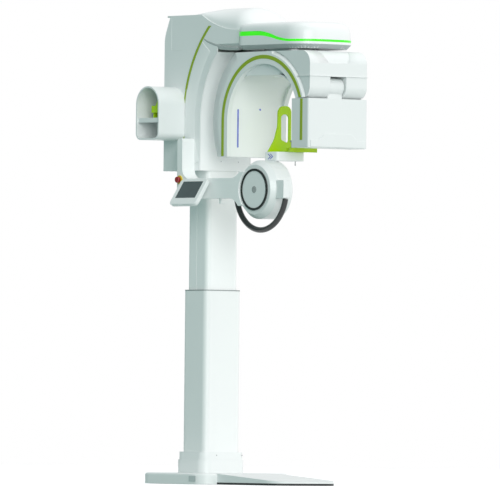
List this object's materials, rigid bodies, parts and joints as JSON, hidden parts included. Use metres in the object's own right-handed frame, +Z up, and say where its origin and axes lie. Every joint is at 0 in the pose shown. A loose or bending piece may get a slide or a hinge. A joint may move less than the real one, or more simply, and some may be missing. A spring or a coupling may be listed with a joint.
{
  "type": "dental cone-beam x-ray unit",
  "caption": "Floor-standing dental cone-beam X-ray unit: telescopic column, overhead boom, rotating arch with detector head, chin and temple supports, hand grip and touch screen.",
  "frame": {"origin": "centre of the floor anchor pattern on the column axis, at the floor", "axes": "+Z up; +X from the column along the boom towards the patient; -Y towards the operator, the side with the touch screen"},
  "size_m": [1.173, 0.6287, 2.325],
  "materials": {
    "shell_white": "glossy moulded cover",
    "painted_white": "powder-coated satin",
    "plate_black": "black powder coat",
    "lime": "satin moulded",
    "olive_green": "satin inlay strip",
    "light_green": "lit diffuser",
    "rubber_black": "satin",
    "steel": "machined",
    "aluminium": "cast",
    "screen_glass": "polished dark",
    "red": "glossy",
    "yellow": "satin",
    "grey": "satin",
    "nylon": "dry"
  },
  "bodies": {
    "base": {"floor_plate": "plate_black", "base_cover": "shell_white", "base_access_cover": "grey", "power_inlet": "grey", "column_foot_skirt": "shell_white", "column_foot_band": "shell_white", "lower_column": "painted_white", "column_top_trim": "grey", "glide_pads": "nylon", "lift_tube": "steel"},
    "arch": {"gantry_hub": "steel", "ring_plate_near": "shell_white", "ring_plate_far": "shell_white", "arch_stripes": "olive_green", "arch_outer_skin": "shell_white", "arch_inner_skin": "shell_white", "arch_front_block": "shell_white", "crown_frame": "steel", "xray_tube_head": "aluminium", "arch_lights": "screen_glass"},
    "motor_shaft": {"drive_pulley": "steel"},
    "detector": {"detector_housing": "shell_white", "detector_panel": "grey", "detector_neck": "shell_white", "detector_trim": "shell_white", "detector_stripes": "olive_green"},
    "screen": {"screen_housing": "shell_white", "screen_glass": "screen_glass"},
    "stop": {"stop_button": "red"},
    "chin": {"chin_rest": "lime", "bite_rod": "grey"},
    "temple_rear": {"temple_support_rear": "lime"},
    "temple_front": {"temple_support_front": "lime"},
    "carriage": {"accessory_pod": "shell_white", "bearing_ring": "steel", "boom_beam": "steel", "cap_lower": "shell_white", "cap_upper": "shell_white", "carriage_accents": "olive_green", "carriage_cover_screws": "steel", "carriage_front_cover": "shell_white", "carriage_rear_cover": "shell_white", "carriage_side_far": "shell_white", "carriage_side_near": "shell_white", "chin_block": "shell_white", "drive_belt": "rubber_black", "drive_motor": "aluminium", "drum_housing": "shell_white", "drum_ring": "rubber_black", "grip_mounts": "painted_white", "hand_grip": "rubber_black", "lift_rod": "steel", "light_band": "light_green", "neck_cover": "shell_white", "screen_bracket": "painted_white", "spare_chin_rest": "lime", "stop_collar": "yellow", "support_arm": "painted_white", "top_dome": "shell_white", "upper_column": "painted_white"}
  },
  "joints": [
    {"name": "column_lift", "type": "slide", "parent": "base", "child": "carriage", "axis": [0, 0, 1], "range_m": [-0.55, 0.05]},
    {"name": "arch_turn", "type": "hinge", "parent": "carriage", "child": "arch", "pos_m": [0.6, 0, 2.14], "axis": [0, 0, 1], "range_deg": [-135, 135]},
    {"name": "motor_turn", "type": "hinge", "parent": "carriage", "child": "motor_shaft", "pos_m": [0.8, 0, 2.13], "axis": [0, 0, 1], "range_deg": [-850, 850]},
    {"name": "detector_tilt", "type": "hinge", "parent": "arch", "child": "detector", "pos_m": [0.897, 0, 1.925], "axis": [0, -1, 0], "range_deg": [0, 90]},
    {"name": "screen_tilt", "type": "hinge", "parent": "carriage", "child": "screen", "pos_m": [0.175, -0.26216, 1.41046], "axis": [1, 0, 0], "range_deg": [-2, 30]},
    {"name": "stop_press", "type": "slide", "parent": "carriage", "child": "stop", "axis": [0, 1, 0], "range_m": [0, 0.0035], "stiffness_N_per_m": 600, "springref_m": -0.002},
    {"name": "chin_rest_height", "type": "slide", "parent": "carriage", "child": "chin", "axis": [0, 0, 1], "range_m": [0, 0.03]},
    {"name": "temple_rear_slide", "type": "slide", "parent": "carriage", "child": "temple_rear", "axis": [1, 0, 0], "range_m": [-0.015, 0.005]},
    {"name": "temple_front_slide", "type": "slide", "parent": "carriage", "child": "temple_front", "axis": [1, 0, 0], "range_m": [-0.005, 0.015]}
  ],
  "couplings": [
    {"joint": "motor_turn", "follows": "arch_turn", "ratio": 6.25},
    {"joint": "temple_front_slide", "follows": "temple_rear_slide", "ratio": -1}
  ]
}
